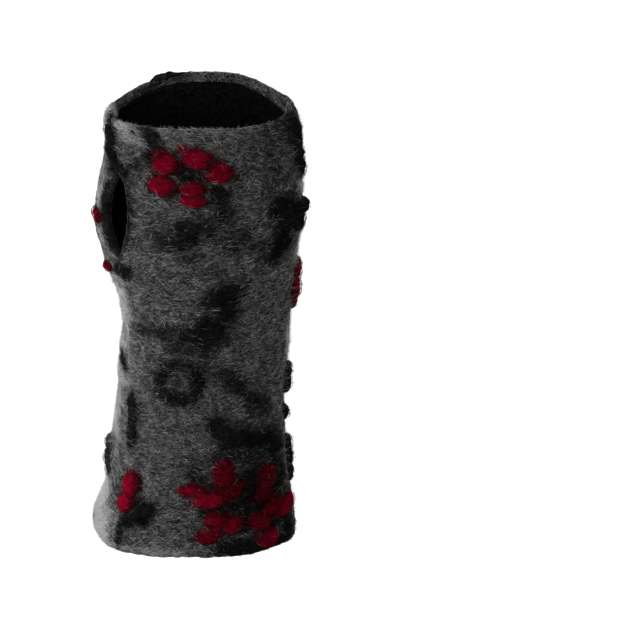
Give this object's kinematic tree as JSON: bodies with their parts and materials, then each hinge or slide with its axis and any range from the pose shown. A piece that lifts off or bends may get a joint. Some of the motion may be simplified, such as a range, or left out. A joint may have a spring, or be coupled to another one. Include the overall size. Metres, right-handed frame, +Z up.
{
  "type": "wrist warmer",
  "caption": "Open-ended felted wool wrist warmer for a left hand, with a thumb opening in its side seam, a black fleece lining and red and black roving rosettes felted on.",
  "frame": {"origin": "middle of the footprint, on the surface that it lies on", "axes": "+Z up, out of the palm; +Y along the tube from the forearm hem to the finger end; -X the thumb side"},
  "size_m": [0.1154, 0.2524, 0.0541],
  "materials": {
    "grey_felt": "matte, hairy",
    "black_fleece": "matte, napped",
    "red_roving": "matte, hairy",
    "black_roving": "matte, hairy"
  },
  "bodies": {
    "root": {"felt_shell": "grey_felt", "fleece_lining": "black_fleece", "red_rosette_palm_upper": "red_roving", "red_rosette_palm_lower": "red_roving", "red_rosette_palm_right": "red_roving", "red_petals_seam": "red_roving", "red_rosette_side": "red_roving", "red_tuft_thumb_upper": "red_roving", "red_tuft_thumb_lower": "red_roving", "black_roving_finger_side": "black_roving", "black_roving_palm_side": "black_roving", "black_roving_thumb": "black_roving", "black_roving_palm_upper": "black_roving", "black_roving_wrist": "black_roving", "black_roving_ring": "black_roving", "black_roving_streak": "black_roving", "black_roving_forearm": "black_roving", "black_roving_seam": "black_roving", "black_roving_hem": "black_roving", "black_roving_edge_wrist": "black_roving", "black_roving_edge_middle": "black_roving", "black_roving_edge_forearm": "black_roving", "black_roving_thumb_edge": "black_roving"}
  },
  "joints": []
}
